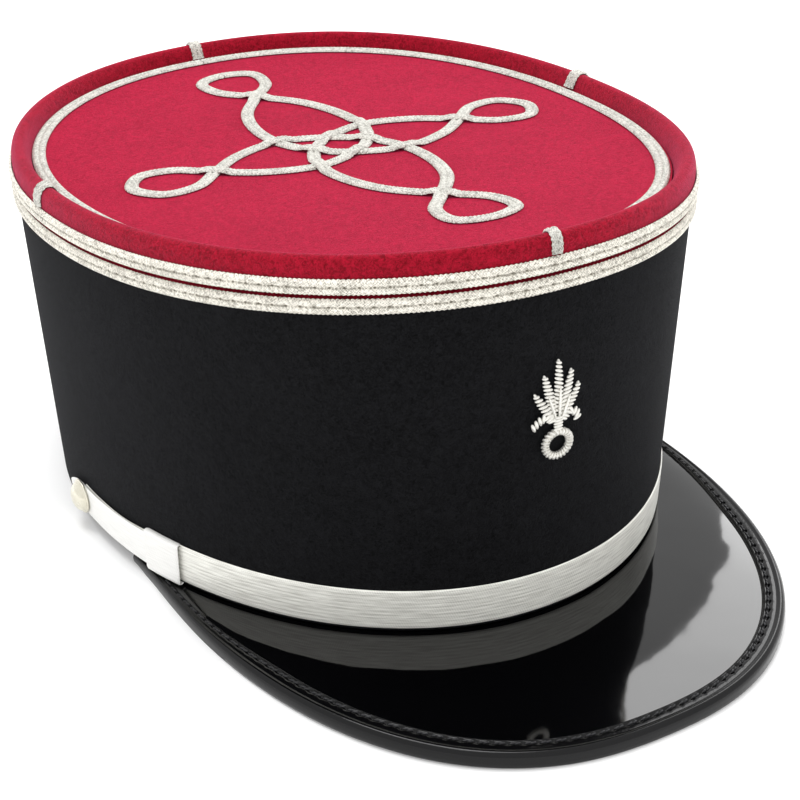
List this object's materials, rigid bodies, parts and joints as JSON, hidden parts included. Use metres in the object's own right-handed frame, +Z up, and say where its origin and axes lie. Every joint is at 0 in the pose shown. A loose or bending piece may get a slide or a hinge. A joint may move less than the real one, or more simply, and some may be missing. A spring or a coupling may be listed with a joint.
{
  "type": "kepi cap",
  "caption": "Round stiff dress cap with a black cloth band, red crown with silver braid knot, silver galons and chin strap, front badge and glossy black peak.",
  "frame": {"origin": "middle of the cap's box, at the level of the surface that it rests on", "axes": "+Z up; the front of the cap and its peak face -Y; +X is the wearer's left"},
  "size_m": [0.1798, 0.2616, 0.1143],
  "materials": {
    "black_wool": "fulled wool cloth, matt",
    "red_wool": "fulled wool cloth, matt",
    "silver_braid": "flat woven silver-coloured braid, satin",
    "silver_strap": "ribbed woven silver-coloured strap, satin",
    "white_strap": "smooth silver-white braid over leather, satin",
    "button_metal": "pale silver wash, soft shine",
    "patent_leather": "black lacquer, mirror gloss",
    "edge_leather": "black, satin with a glossy bead",
    "silver_bullion": "twisted silver-coloured wire, satin"
  },
  "bodies": {
    "root": {"band": "black_wool", "turban_rim": "red_wool", "top_disc": "red_wool", "galon_upper": "silver_braid", "galon_lower": "silver_braid", "top_soutache": "silver_braid", "hungarian_knot": "silver_braid", "rim_tab_front": "silver_braid", "rim_tab_back": "silver_braid", "rim_tab_left": "silver_braid", "rim_tab_right": "silver_braid", "chin_strap": "silver_strap", "strap_end_left": "white_strap", "strap_end_right": "white_strap", "slide_left": "white_strap", "slide_right": "white_strap", "button_left": "button_metal", "button_right": "button_metal", "peak": "patent_leather", "peak_binding": "edge_leather", "badge_ring": "silver_bullion", "badge_flames": "silver_bullion"}
  },
  "joints": []
}
